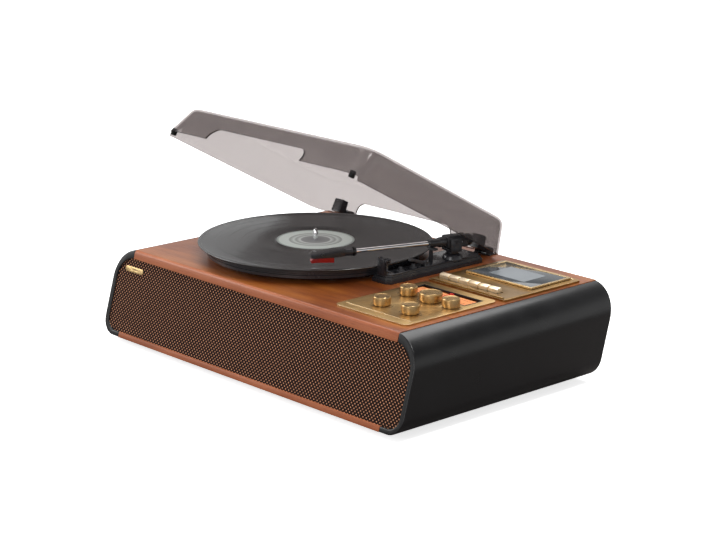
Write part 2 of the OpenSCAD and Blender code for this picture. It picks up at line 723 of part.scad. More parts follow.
module hinge_arms() color("#141416") opened() for (x = hinge_xs) translate([x, 0, 0]) {
    translate([0, 0, rim_z]) along_x(16)
        polygon([[152, 1], [wall_y(1), 1], [wall_y(19), 19], [152, 19]]);
    box([-8, 160, rim_z + 1], [8, hinge_y - 3, rim_z + 7]);
    translate([0, hinge_y, hinge_z]) rotate([0, 90, 0]) {
        rod(4.3, -8, 8);
        rod(pin_r, -13, 13);
    }
}

top_board();
bottom_board();
left_cap();
right_cap();
grille_board();
grille_cloth();
badge();
back_panel();
base_plate();
feet();
screws();
left_speaker();
left_cone();
right_speaker();
right_cone();
main_board();
rear_jacks();
motor();
motor_pulley();
drive_belt();
platter_bearing();
platter();
spindle();
record();
arm_base();
arm_yoke();
arm_cradle();
arm_tube();
counterweight();
headshell();
cartridge();
rest_clip();
cue_lever();
cue_lift();
speed_switch();
stop_switch();
control_panel();
control_board();
dial_scale();
dial_pointer();
volume_knob();
bass_knob();
treble_knob();
source_knob();
tuning_knob();
tape_panel();
record_key();
play_key();
rewind_key();
forward_key();
stop_key();
pause_key();
tape_deck();
left_reel();
right_reel();
cassette_door();
door_window();
lid();
hinge_bases();
hinge_arms();
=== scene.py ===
import json
import math
import bpy
from mathutils import Matrix, Vector


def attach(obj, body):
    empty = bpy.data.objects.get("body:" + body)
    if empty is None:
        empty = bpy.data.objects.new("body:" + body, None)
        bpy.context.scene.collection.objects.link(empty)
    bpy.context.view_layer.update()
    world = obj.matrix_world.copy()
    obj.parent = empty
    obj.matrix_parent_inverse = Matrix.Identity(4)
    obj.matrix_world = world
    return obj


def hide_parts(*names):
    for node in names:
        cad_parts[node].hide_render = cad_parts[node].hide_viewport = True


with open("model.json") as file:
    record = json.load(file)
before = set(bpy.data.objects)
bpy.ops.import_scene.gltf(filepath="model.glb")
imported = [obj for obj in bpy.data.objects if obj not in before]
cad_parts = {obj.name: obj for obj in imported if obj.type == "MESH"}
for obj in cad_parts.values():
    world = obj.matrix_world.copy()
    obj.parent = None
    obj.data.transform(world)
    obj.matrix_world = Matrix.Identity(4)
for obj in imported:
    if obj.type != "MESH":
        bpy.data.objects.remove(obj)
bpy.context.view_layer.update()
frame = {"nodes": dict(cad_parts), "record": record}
bpy.ops.object.select_all(action="DESELECT")
print("frame loaded:", len(frame["nodes"]), "nodes")

mm = 0.001
bodyOf = {node: body for body, nodes in frame["record"]["behaviour"]["bodies"].items() for node in nodes}


# --- camera, lamps and floor ---

shot = {"place": (1.8093, -1.6699, 0.7777), "turn": 47.03, "down": 15.07, "roll": 0.36, "lens": 101.31}
studio = {"floorSize": 60, "sky": [(0.0, 0.74), (0.34, 0.70), (0.52, 0.16), (0.80, 0.14), (0.93, 0.9)],
          "bounce": "#7C7876", "floorGlow": 0.72,
          "lamps": [("overhead", (-0.9, 0.9, 2.4), (0, 0, 0.1), 2.4, 60),
                    ("left", (-2.6, -1.6, 1.5), (-0.1, 0, 0.1), 1.6, 32),
                    ("front", (1.2, -3.0, 1.3), (0, 0, 0.08), 1.5, 24),
                    ("strip", (1.0, 0.12, 1.9), (0, 0, 0.2), 0.4, 11)]}


def makeCamera():
    bpy.ops.object.camera_add()
    camera = bpy.context.object
    camera.data.lens = shot["lens"]
    camera.data.clip_end = 100
    camera.matrix_world = (Matrix.Translation(shot["place"])
                           @ Matrix.Rotation(math.radians(shot["turn"]), 4, "Z")
                           @ Matrix.Rotation(math.radians(90 - shot["down"]), 4, "X")
                           @ Matrix.Rotation(math.radians(shot["roll"]), 4, "Z"))
    bpy.context.scene.camera = camera


def makeStudio():
    for name, place, target, size, power in studio["lamps"]:
        bpy.ops.object.light_add(type="AREA", location=place)
        lamp = bpy.context.object
        lamp.name = "lamp." + name
        lamp.data.size = size
        lamp.data.energy = power
        lamp.rotation_euler = (Vector(target) - Vector(place)).to_track_quat("-Z", "Y").to_euler()
    world = bpy.data.worlds.new("studio")
    bpy.context.scene.world = world
    world.use_nodes = True
    sky = world.node_tree.nodes["Background"]
    # bright walls, a dark band above them and a bright ceiling
    where = addNode(world.node_tree, "ShaderNodeTexCoord")
    height = addNode(world.node_tree, "ShaderNodeSeparateXYZ", {0: where.outputs["Generated"]})
    world.node_tree.links.new(ramp(world.node_tree, height.outputs["Z"], studio["sky"]), sky.inputs["Color"])
    bpy.ops.mesh.primitive_plane_add(size=studio["floorSize"], location=(0, 0, 0))
    floor = bpy.context.object
    floor.name = "floor"
    floor.data.materials.append(paintedFloor())
    bpy.context.scene.view_settings.view_transform = "Standard"


# --- materials ---

def linear(code):
    channels = [int(code[i:i + 2], 16) / 255 for i in (1, 3, 5)]
    return tuple(c / 12.92 if c <= 0.04045 else ((c + 0.055) / 1.055) ** 2.4 for c in channels) + (1,)


def addNode(tree, kind, inputs=None, **settings):
    node = tree.nodes.new(kind)
    for key, value in settings.items():
        setattr(node, key, value)
    for key, value in (inputs or {}).items():
        if isinstance(value, bpy.types.NodeSocket):
            tree.links.new(value, node.inputs[key])
        else:
            node.inputs[key].default_value = value
    return node


def newMaterial(name, **values):
    material = bpy.data.materials.new(name)
    material.use_nodes = True
    shader = material.node_tree.nodes["Principled BSDF"]
    for key, value in values.items():
        words = {"colour": "Base Color", "roughness": "Roughness", "metallic": "Metallic", "ior": "IOR",
                 "coat": "Coat Weight", "coatRoughness": "Coat Roughness", "sheen": "Sheen Weight",
                 "sheenRoughness": "Sheen Roughness", "anisotropy": "Anisotropic",
                 "specular": "Specular IOR Level",
                 "glow": "Emission Strength", "glowColour": "Emission Color"}
        shader.inputs[words[key]].default_value = value
    return material, material.node_tree, shader


def objectPoint(tree, scale=(1, 1, 1), place=(0, 0, 0)):
    # object coordinates in millimetres, with place as the centre
    where = addNode(tree, "ShaderNodeTexCoord")
    centred = addNode(tree, "ShaderNodeVectorMath", {0: where.outputs["Object"], 1: place},
                      operation="SUBTRACT")
    return addNode(tree, "ShaderNodeVectorMath", {0: centred.outputs[0], 1: [1000 * s for s in scale]},
                   operation="MULTIPLY").outputs[0]


def ramp(tree, factor, stops):
    node = addNode(tree, "ShaderNodeValToRGB", {"Fac": factor})
    points = node.color_ramp.elements
    while len(points) < len(stops):
        points.new(0.5)
    for point, (place, colour) in zip(points, stops):
        point.position = place
        point.color = linear(colour) if isinstance(colour, str) else (colour, colour, colour, 1)
    return node.outputs["Color"]


def addBump(tree, shader, height, depth, strength=1.0):
    # depth is the relief in millimetres
    bump = addNode(tree, "ShaderNodeBump", {"Height": height, "Distance": depth * mm, "Strength": strength})
    tree.links.new(bump.outputs["Normal"], shader.inputs["Normal"])
    return bump


def paintedFloor():
    # matt white paper sweep: faint tooth
    material, tree, shader = newMaterial("paperSweep", roughness=0.9, specular=0.0)
    grain = addNode(tree, "ShaderNodeTexNoise", {"Vector": objectPoint(tree), "Scale": 0.4, "Detail": 3})
    addBump(tree, shader, grain.outputs["Fac"], 0.02)
    ray = addNode(tree, "ShaderNodeLightPath")
    shade = addNode(tree, "ShaderNodeMix", {0: ray.outputs["Is Camera Ray"], 6: linear(studio["bounce"]),
                                            7: linear("#FFFFFF")}, data_type="RGBA")
    tree.links.new(shade.outputs[2], shader.inputs["Base Color"])
    glow = addNode(tree, "ShaderNodeMath", {0: ray.outputs["Is Camera Ray"], 1: studio["floorGlow"]},
                   operation="MULTIPLY")
    shader.inputs["Emission Color"].default_value = linear("#FFFFFF")
    tree.links.new(glow.outputs[0], shader.inputs["Emission Strength"])
    return material


def lacqueredVeneer(name, tones, gloss=0.34):
    # cherry veneer under satin lacquer: long fibres along X, soft dark bands, small pores
    material, tree, shader = newMaterial(name, specular=0.35, coat=0.12, coatRoughness=0.25)
    band = addNode(tree, "ShaderNodeTexNoise", {"Vector": objectPoint(tree, (0.006, 0.045, 0.045)),
                                                "Scale": 1.0, "Detail": 5, "Roughness": 0.55,
                                                "Distortion": 0.6})
    fibre = addNode(tree, "ShaderNodeTexNoise", {"Vector": objectPoint(tree, (0.03, 1.1, 1.1)),
                                                 "Scale": 1.0, "Detail": 4, "Roughness": 0.6})
    cloud = addNode(tree, "ShaderNodeTexNoise", {"Vector": objectPoint(tree, (0.008, 0.012, 0.012)),
                                                 "Scale": 1.0, "Detail": 2})
    blend = addNode(tree, "ShaderNodeMix", {0: 0.3, 2: band.outputs["Fac"], 3: fibre.outputs["Fac"]})
    blend = addNode(tree, "ShaderNodeMix", {0: 0.35, 2: blend.outputs[0], 3: cloud.outputs["Fac"]})
    colour = ramp(tree, blend.outputs[0], [(0.34, tones[0]), (0.47, tones[1]), (0.56, tones[2]),
                                           (0.68, tones[3])])
    pores = addNode(tree, "ShaderNodeTexNoise", {"Vector": objectPoint(tree, (0.12, 2.4, 2.4)),
                                                 "Scale": 1.0, "Detail": 2})
    dark = ramp(tree, pores.outputs["Fac"], [(0.30, 0.72), (0.42, 1.0)])
    tinted = addNode(tree, "ShaderNodeMix", {0: 1.0, 6: colour, 7: dark}, data_type="RGBA",
                     blend_type="MULTIPLY")
    tree.links.new(tinted.outputs[2], shader.inputs["Base Color"])
    shine = ramp(tree, fibre.outputs["Fac"], [(0.3, gloss + 0.08), (0.7, gloss)])
    tree.links.new(shine, shader.inputs["Roughness"])
    addBump(tree, shader, pores.outputs["Fac"], 0.03, 0.5)
    return material


def mouldedPlastic(name, colour, roughness=0.42, grit=0.5, depth=0.012, specular=0.5, glow=0.0):
    # satin ABS from a sparked mould: fine grit, slightly uneven gloss
    # glow, where it is given, makes the colour shine by itself: painted light
    material, tree, shader = newMaterial(name, ior=1.53, specular=specular, glow=glow,
                                         glowColour=linear(colour))
    point = objectPoint(tree)
    grain = addNode(tree, "ShaderNodeTexNoise", {"Vector": point, "Scale": 1 / grit, "Detail": 2})
    wear = addNode(tree, "ShaderNodeTexNoise", {"Vector": point, "Scale": 0.03, "Detail": 4})
    shade = ramp(tree, wear.outputs["Fac"], [(0.3, colour), (0.75, lighter(colour, 1.12))])
    tree.links.new(shade, shader.inputs["Base Color"])
    tree.links.new(ramp(tree, wear.outputs["Fac"], [(0.3, roughness - 0.03), (0.7, roughness + 0.05)]),
                   shader.inputs["Roughness"])
    addBump(tree, shader, grain.outputs["Fac"], depth)
    return material


def lighter(code, factor):
    return "#" + "".join("%02X" % min(255, int(int(code[i:i + 2], 16) * factor)) for i in (1, 3, 5))


def brushedGold(name, tones, roughness=0.36, along=(0.02, 3.0, 3.0), anisotropy=0.5):
    # gold anodised aluminium, brushed left to right before the dye: short fine scratches
    material, tree, shader = newMaterial(name, metallic=1.0, anisotropy=anisotropy)
    scratch = addNode(tree, "ShaderNodeTexNoise", {"Vector": objectPoint(tree, along), "Scale": 1.0,
                                                   "Detail": 6,
                                                   "Roughness": 0.65})
    cloud = addNode(tree, "ShaderNodeTexNoise", {"Vector": objectPoint(tree), "Scale": 0.04, "Detail": 3})
    blend = addNode(tree, "ShaderNodeMix", {0: 0.35, 2: scratch.outputs["Fac"], 3: cloud.outputs["Fac"]})
    tree.links.new(ramp(tree, blend.outputs[0], [(0.35, tones[0]), (0.5, tones[1]), (0.65, tones[2])]),
                   shader.inputs["Base Color"])
    tree.links.new(ramp(tree, scratch.outputs["Fac"], [(0.3, roughness + 0.08), (0.7, roughness - 0.05)]),
                   shader.inputs["Roughness"])
    addBump(tree, shader, scratch.outputs["Fac"], 0.012, 0.6)
    return material


def turnedGold(name, centre, tones, roughness=0.3):
    # gold anodised aluminium, turned on a lathe: rings on the top, fine lines round the side
    material, tree, shader = newMaterial(name, metallic=1.0)
    point = objectPoint(tree, place=centre)
    flat = addNode(tree, "ShaderNodeVectorMath", {0: point, 1: (1, 1, 0)}, operation="MULTIPLY")
    radius = addNode(tree, "ShaderNodeVectorMath", {0: flat.outputs[0]}, operation="LENGTH")
    height = addNode(tree, "ShaderNodeSeparateXYZ", {0: point})
    both = addNode(tree, "ShaderNodeMath", {0: radius.outputs["Value"], 1: height.outputs["Z"]},
                   operation="ADD")
    rings = addNode(tree, "ShaderNodeTexNoise", {"W": both.outputs[0], "Scale": 2.2, "Detail": 5},
                    noise_dimensions="1D")
    cloud = addNode(tree, "ShaderNodeTexNoise", {"Vector": point, "Scale": 0.09, "Detail": 2})
    blend = addNode(tree, "ShaderNodeMix", {0: 0.5, 2: rings.outputs["Fac"], 3: cloud.outputs["Fac"]})
    tree.links.new(ramp(tree, blend.outputs[0], [(0.3, tones[0]), (0.5, tones[1]), (0.7, tones[2])]),
                   shader.inputs["Base Color"])
    tree.links.new(ramp(tree, rings.outputs["Fac"], [(0.3, roughness + 0.07), (0.7, roughness - 0.04)]),
                   shader.inputs["Roughness"])
    addBump(tree, shader, rings.outputs["Fac"], 0.02, 0.7)
    return material


def polishedMetal(name, tones, roughness=0.12, grain=0.08):
    # buffed metal: nearly clean, with faint wipe marks
    material, tree, shader = newMaterial(name, metallic=1.0)
    wipe = addNode(tree, "ShaderNodeTexNoise", {"Vector": objectPoint(tree), "Scale": grain, "Detail": 4})
    tree.links.new(ramp(tree, wipe.outputs["Fac"], [(0.3, tones[0]), (0.7, tones[1])]),
                   shader.inputs["Base Color"])
    tree.links.new(ramp(tree, wipe.outputs["Fac"], [(0.3, roughness), (0.75, roughness + 0.08)]),
                   shader.inputs["Roughness"])
    addBump(tree, shader, wipe.outputs["Fac"], 0.02, 0.2)
    return material


grooves = {"pitch": 0.9, "depth": 0.05}


def pressedVinyl(centre):
    # pressed vinyl: grooves are far finer than this, so they are drawn 0.9 mm apart, where they still show
    material, tree, shader = newMaterial("pressedVinyl", ior=1.54, anisotropy=0.9, roughness=0.26,
                                         specular=1.0,
                                         coat=0.25, coatRoughness=0.1)
    point = objectPoint(tree, place=centre)
    flat = addNode(tree, "ShaderNodeVectorMath", {0: point, 1: (1, 1, 0)}, operation="MULTIPLY")
    radius = addNode(tree, "ShaderNodeVectorMath", {0: flat.outputs[0]}, operation="LENGTH").outputs["Value"]
    groove = addNode(tree, "ShaderNodeMath", {0: radius, 1: 2 * math.pi / grooves["pitch"]},
                     operation="MULTIPLY")
    groove = addNode(tree, "ShaderNodeMath", {0: groove.outputs[0]}, operation="SINE")
    tracks = addNode(tree, "ShaderNodeTexNoise", {"W": radius, "Scale": 0.35, "Detail": 6},
                     noise_dimensions="1D")
    tree.links.new(ramp(tree, tracks.outputs["Fac"], [(0.3, "#050608"), (0.7, "#0E1014")]),
                   shader.inputs["Base Color"])
    tangent = addNode(tree, "ShaderNodeTangent", direction_type="RADIAL", axis="Z")
    tree.links.new(tangent.outputs[0], shader.inputs["Tangent"])
    addBump(tree, shader, groove.outputs[0], grooves["depth"], 0.25)
    return material


def printedLabel(centre):
    # uncoated paper label: plain rings of pale green-grey ink
    material, tree, shader = newMaterial("printedLabel", roughness=0.62, specular=0.35)
    point = objectPoint(tree, place=centre)
    flat = addNode(tree, "ShaderNodeVectorMath", {0: point, 1: (1, 1, 0)}, operation="MULTIPLY")
    radius = addNode(tree, "ShaderNodeVectorMath", {0: flat.outputs[0]}, operation="LENGTH").outputs["Value"]
    share = addNode(tree, "ShaderNodeMath", {0: radius, 1: 50.0}, operation="DIVIDE")
    rings = ramp(tree, share.outputs[0], [(0.0, "#8A8B8D"), (0.36, "#9FA1A2"), (0.40, "#E3E9E6"),
                                          (0.5, "#A9AEAC"),
                                          (0.56, "#DDE5E1"), (0.66, "#A6ACA9"), (0.70, "#E2EBE6"),
                                          (0.93, "#DCE6E1"),
                                          (0.97, "#A4ADA9")])
    fibre = addNode(tree, "ShaderNodeTexNoise", {"Vector": point, "Scale": 0.6, "Detail": 4})
    tone = ramp(tree, fibre.outputs["Fac"], [(0.3, 0.9), (0.7, 1.0)])
    mixed = addNode(tree, "ShaderNodeMix", {0: 1.0, 6: rings, 7: tone}, data_type="RGBA",
                    blend_type="MULTIPLY")
    tree.links.new(mixed.outputs[2], shader.inputs["Base Color"])
    addBump(tree, shader, fibre.outputs["Fac"], 0.02, 0.4)
    return material


def smokedAcrylic(name, tint, body, share, roughness=0.07):
    # smoked acrylic: the dye lets part of the light straight through, and the polished skin shines
    material, tree, shader = newMaterial(name, colour=linear(body), roughness=roughness, ior=1.49,
                                         specular=0.6)
    haze = addNode(tree, "ShaderNodeTexNoise", {"Vector": objectPoint(tree), "Scale": 0.02, "Detail": 3})
    tree.links.new(ramp(tree, haze.outputs["Fac"], [(0.3, body), (0.7, lighter(body, 1.08))]),
                   shader.inputs["Base Color"])
    clear = addNode(tree, "ShaderNodeBsdfTransparent", {"Color": linear(tint)})
    mix = addNode(tree, "ShaderNodeMixShader", {0: share, 1: clear.outputs[0], 2: shader.outputs[0]})
    tree.links.new(mix.outputs[0], tree.nodes["Material Output"].inputs["Surface"])
    return material


weave = {"across": 5.6, "up": 2.8, "wide": 1.25, "tall": 0.85}


def grilleWeave():
    # woven acoustic cloth: brown-black ground with a raised tan thread at every crossing of two slanted rows
    material, tree, shader = newMaterial("grilleWeave", roughness=0.85, sheen=0.08, sheenRoughness=0.5,
                                         specular=0.15)
    uv = addNode(tree, "ShaderNodeUVMap", uv_map="threads")
    spot = addNode(tree, "ShaderNodeSeparateXYZ", {0: uv.outputs[0]})
    u = addNode(tree, "ShaderNodeMath", {0: spot.outputs["X"], 1: 2 * math.pi}, operation="MULTIPLY")
    v = addNode(tree, "ShaderNodeMath", {0: spot.outputs["Y"], 1: math.pi}, operation="MULTIPLY")
    cosU = addNode(tree, "ShaderNodeMath", {0: u.outputs[0]}, operation="COSINE")
    cosV = addNode(tree, "ShaderNodeMath", {0: v.outputs[0]}, operation="COSINE")
    product = addNode(tree, "ShaderNodeMath", {0: cosU.outputs[0], 1: cosV.outputs[0]}, operation="MULTIPLY")
    stray = addNode(tree, "ShaderNodeTexNoise", {"Vector": objectPoint(tree), "Scale": 0.25, "Detail": 3})
    lift = addNode(tree, "ShaderNodeMath", {0: stray.outputs["Fac"], 1: 0.24, 2: -0.12},
                   operation="MULTIPLY_ADD")
    level = addNode(tree, "ShaderNodeMath", {0: product.outputs[0], 1: lift.outputs[0]}, operation="ADD")
    colour = ramp(tree, level.outputs[0], [(0.0, "#1E0D08"), (0.44, "#30150D"), (0.62, "#AE6E4E"),
                                           (0.85, "#DFA680")])
    tree.links.new(colour, shader.inputs["Base Color"])
    addBump(tree, shader, level.outputs[0], 0.25, 0.6)
    return material


gold = ["#B08D5A", "#C6A46E", "#D6B783"]
goldTurned = ["#B08C5A", "#CBA873", "#DDBE8C"]
finishes = {}


def makeFinishes():
    finishes["veneer"] = lacqueredVeneer("cherryVeneer", ["#642D0D", "#874418", "#A15A22", "#B56D2C"])
    # a lighter copy of the cherry veneer for faces turned to the front: painted light on the top board's nose
    # and on the bottom strip
    finishes["edgeVeneer"] = lacqueredVeneer("cherryFrontLit", ["#8E4A2C", "#AA603C", "#BA6E48", "#C87E55"])
    finishes["cap"] = mouldedPlastic("satinAbsBlack", "#08080A", 0.3)
    finishes["black"] = mouldedPlastic("glossAbsBlack", "#252529", 0.24, 0.8, 0.006)
    finishes["deepBlack"] = mouldedPlastic("mattAbsBlack", "#0C0C0E", 0.55, 0.4, 0.02)
    finishes["knobGrip"] = mouldedPlastic("switchAbsGrey", "#2B2B2F", 0.45)
    finishes["cloth"] = grilleWeave()
    finishes["brass"] = polishedMetal("polishedBrass", ["#CFAE78", "#E0C28E"], 0.24)
    finishes["keyGold"] = polishedMetal("platedKeyGold", ["#F4DDB8", "#FFEFD2"], 0.42)
    finishes["panel"] = brushedGold("brushedGoldPanel", gold)
    finishes["cutEdge"] = polishedMetal("diamondCutGold", ["#F2D9AC", "#FFECC8"], 0.26)
    finishes["bearing"] = polishedMetal("turnedBrass", ["#A9803E", "#C49A55"], 0.3)
    finishes["chrome"] = polishedMetal("chromePlate", ["#DADADC", "#F2F2F4"], 0.06)
    finishes["steel"] = polishedMetal("zincPlate", ["#9A9CA0", "#B6B8BC"], 0.32)
    finishes["redPlastic"] = mouldedPlastic("redAbs", "#8E1010", 0.25, 0.8, 0.004)
    finishes["rubber"] = mouldedPlastic("mouldedRubber", "#161616", 0.8, 0.6, 0.03, 0.3)
    finishes["enamel"] = mouldedPlastic("blackEnamel", "#101011", 0.4, 1.2, 0.02)
    finishes["hardboard"] = mouldedPlastic("blackHardboard", "#1B1714", 0.75, 0.5, 0.05, 0.3)
    finishes["circuit"] = mouldedPlastic("greenCircuitBoard", "#1E4A2C", 0.35, 1.5, 0.01)
    finishes["paper"] = mouldedPlastic("pulpPaper", "#141414", 0.9, 0.7, 0.06, 0.2)
    finishes["deck"] = mouldedPlastic("greyAbs", "#232327", 0.5)
    finishes["reel"] = mouldedPlastic("ivoryAcetal", "#D9D5C8", 0.35, 1.0, 0.005)
    # the dial scale glows faintly in its own copper colour: painted light, the scale has no lamp
    finishes["dial"] = mouldedPlastic("copperAcrylicPaintedGlow", "#E08E58", 0.3, 1.5, 0.004, glow=0.3)
    finishes["dialInk"] = mouldedPlastic("brownInk", "#5B2E1A", 0.5, 1.0, 0.002)
    finishes["ink"] = mouldedPlastic("blackInk", "#15110D", 0.5, 1.0, 0.002)
    finishes["tapePanel"] = brushedGold("brushedTapePanel", ["#8E6D3A", "#A27E48", "#B4915C"], 0.32)
    finishes["pointer"] = mouldedPlastic("redAcrylic", "#C2201A", 0.25, 1.0, 0.003)
    finishes["lid"] = smokedAcrylic("smokedLidAcrylic", "#D6D2D1", "#5A5556", 0.24, 0.05)
    finishes["lidEdge"] = smokedAcrylic("smokedLidEdge", "#5A5250", "#2A2422", 0.8, 0.12)
    finishes["window"] = smokedAcrylic("smokedWindowAcrylic", "#7C8084", "#5A5E62", 0.7, 0.05)
    finishes["pane"] = smokedAcrylic("frostedPane", "#9EA4A8", "#8A9095", 0.8, 0.2)


# --- shaping helpers ---

def selectOnly(piece):
    if bpy.context.object and bpy.context.object.mode != "OBJECT":
        bpy.ops.object.mode_set(mode="OBJECT")
    bpy.ops.object.select_all(action="DESELECT")
    piece.select_set(True)
    bpy.context.view_layer.objects.active = piece


def finishPiece(piece, name, material, nodes=(), rides=None, smooth=35):
    selectOnly(piece)
    piece.name = name
    piece.data.name = name
    bpy.ops.object.transform_apply(location=True, rotation=True, scale=True)
    if smooth:
        bpy.ops.object.shade_smooth_by_angle(angle=math.radians(smooth))
    if material:
        piece.data.materials.clear()
        piece.data.materials.append(material)
    owner = rides or nodes[0]
    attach(piece, bodyOf[owner])
    if nodes:
        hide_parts(*nodes)
    return piece


def bevelSharp(piece, width, segments=2, where=None, sharper=30):
    # bevels the sharp edges whose middle passes the test
    selectOnly(piece)
    bpy.ops.object.mode_set(mode="EDIT")
    bpy.ops.mesh.select_mode(type="EDGE")
    bpy.ops.mesh.select_all(action="DESELECT")
    bpy.ops.mesh.edges_select_sharp(sharpness=math.radians(sharper))
    if where:
        bpy.ops.object.mode_set(mode="OBJECT")
        points = piece.data.vertices
        for edge in piece.data.edges:
            if edge.select:
                a, b = (points[i].co for i in edge.vertices)
                edge.select = where((a + b) / 2 / mm)
        bpy.ops.object.mode_set(mode="EDIT")
    bpy.ops.mesh.bevel(offset=width * mm, offset_type="OFFSET", segments=segments, affect="EDGES",
                       clamp_overlap=True)
    bpy.ops.object.mode_set(mode="OBJECT")


def copyOf(node):
    # a merged copy of a CAD node, to be finished in its place
    selectOnly(frame["nodes"][node])
    bpy.ops.object.duplicate()
    piece = bpy.context.object
    piece.parent = None
    for key in list(piece.keys()):
        del piece[key]
    bpy.ops.object.mode_set(mode="EDIT")
    bpy.ops.mesh.select_all(action="SELECT")
    bpy.ops.mesh.remove_doubles(threshold=0.000002)
    bpy.ops.mesh.dissolve_limited(angle_limit=math.radians(0.6))
    bpy.ops.object.mode_set(mode="OBJECT")
    return piece


def softened(node, name, material, width=0.4, segments=2, where=None, smooth=35, sharper=30):
    piece = copyOf(node)
    if width:
        bevelSharp(piece, width, segments, where, sharper)
    return finishPiece(piece, name, material, [node], smooth=smooth)


def slab(low, high, edge=0.3, segments=2, place=None):
    # a bevelled block between two corners, in millimetres
    low, high = Vector(low), Vector(high)
    bpy.ops.mesh.primitive_cube_add(size=1, location=(low + high) / 2 * mm, scale=(high - low) * mm)
    block = bpy.context.object
    bpy.ops.object.transform_apply(location=True, rotation=True, scale=True)
    if edge:
        bpy.ops.object.mode_set(mode="EDIT")
        bpy.ops.mesh.select_all(action="SELECT")
        bpy.ops.mesh.bevel(offset=edge * mm, segments=segments, affect="EDGES")
        bpy.ops.object.mode_set(mode="OBJECT")
    if place:
        block.matrix_world = place
        bpy.ops.object.transform_apply(location=True, rotation=True, scale=True)
    return block


def turned(rings, sides=48, place=None, centre=(0, 0)):
    # a closed turned shape on a vertical axis:
    # rings are (radius, height) in millimetres, from one end to the other
    x, y = centre
    radius, height = rings[0]
    bpy.ops.mesh.primitive_circle_add(vertices=sides, radius=radius * mm, fill_type="NGON",
                                      location=(x * mm, y * mm, height * mm))
    shape = bpy.context.object
    bpy.ops.object.transform_apply(location=True, rotation=True, scale=True)
    bpy.ops.object.mode_set(mode="EDIT")
    bpy.ops.mesh.select_mode(type="FACE")
    bpy.ops.mesh.select_all(action="SELECT")
    for nextRadius, nextHeight in rings[1:]:
        bpy.ops.mesh.extrude_region_move(TRANSFORM_OT_translate={"value": (0, 0, (nextHeight - height) * mm)})
        share = nextRadius / radius
        bpy.ops.transform.resize(value=(share, share, 1), center_override=(x * mm, y * mm, nextHeight * mm))
        radius, height = nextRadius, nextHeight
    bpy.ops.mesh.select_all(action="SELECT")
    bpy.ops.mesh.normals_make_consistent(inside=False)
    bpy.ops.object.mode_set(mode="OBJECT")
    if place:
        shape.matrix_world = place
        bpy.ops.object.transform_apply(location=True, rotation=True, scale=True)
    return shape


def joined(pieces):
    selectOnly(pieces[0])
    for piece in pieces[1:]:
        piece.select_set(True)
    bpy.ops.object.join()
    return bpy.context.object


def cutBy(piece, tool):
    # takes the tool's shape out of the piece
    selectOnly(piece)
    cut = piece.modifiers.new("cut", "BOOLEAN")
    cut.object = tool
    cut.operation = "DIFFERENCE"
    cut.solver = "EXACT"
    bpy.ops.object.modifier_apply(modifier="cut")
    bpy.data.objects.remove(tool)


def placed(*steps):
    # a matrix from places in millimetres and (axis, degrees) turns, outermost first
    matrix = Matrix.Identity(4)
    for step in steps:
        if isinstance(step[0], str):
            matrix = matrix @ Matrix.Rotation(math.radians(step[1]), 4, step[0])
        else:
            matrix = matrix @ Matrix.Translation(Vector(step) * mm)
    return matrix


def secondMaterial(piece, material, test):
    # gives the faces whose middle (in millimetres) and normal pass the test another finish
    piece.data.materials.append(material)
    slot = len(piece.data.materials) - 1
    for face in piece.data.polygons:
        if test(face.center / mm, face.normal):
            face.material_index = slot


# --- cabinet ---

case = {"deck": 119, "woodHalf": 246, "frontFoot": -184, "lean": 31, "baseTop": 8, "height": 111}
clothShape = {"half": 274, "low": 14.5, "high": 108, "topRadius": 30, "bottomRadius": 16, "behind": 2.2,
              "columns": 392, "rows": 140, "relief": 0.32}


def frontY(z):
    return case["frontFoot"] + case["lean"] * (z - case["baseTop"]) / case["height"]


def clothHalf(z):
    top, bottom = clothShape["topRadius"], clothShape["bottomRadius"]
    over = z - (clothShape["high"] - top)
    under = clothShape["low"] + bottom - z
    if over > 0:
        return clothShape["half"] - top + math.sqrt(max(0, top ** 2 - over ** 2))
    if under > 0:
        return clothShape["half"] - bottom + math.sqrt(max(0, bottom ** 2 - under ** 2))
    return clothShape["half"]


def makeCloth():
    # stretched over the grille board: every thread crossing stands a little proud
    bpy.ops.mesh.primitive_grid_add(x_subdivisions=clothShape["columns"], y_subdivisions=clothShape["rows"],
                                    size=1)
    cloth = bpy.context.object
    slope = math.hypot(1, case["lean"] / case["height"])
    tall = clothShape["high"] - clothShape["low"]
    along = {}
    for point in cloth.data.vertices:
        z = clothShape["low"] + tall * (point.co.y + 0.5)
        x = 2 * point.co.x * clothHalf(z)
        s = (z - clothShape["low"]) * slope
        rise = math.cos(2 * math.pi * x / weave["across"]) * math.cos(math.pi * s / weave["up"])
        lift = clothShape["relief"] * max(rise, -0.3)
        point.co = Vector((x, frontY(z) + clothShape["behind"] - lift, z)) * mm
        along[point.index] = (x / weave["across"], s / weave["up"])
    for layer in list(cloth.data.uv_layers):
        cloth.data.uv_layers.remove(layer)
    threads = cloth.data.uv_layers.new(name="threads")
    for loop in cloth.data.loops:
        threads.data[loop.index].uv = along[loop.vertex_index]
    finishPiece(cloth, "grilleCloth", finishes["cloth"], ["grille_cloth"], smooth=0)
    bpy.ops.object.shade_smooth()


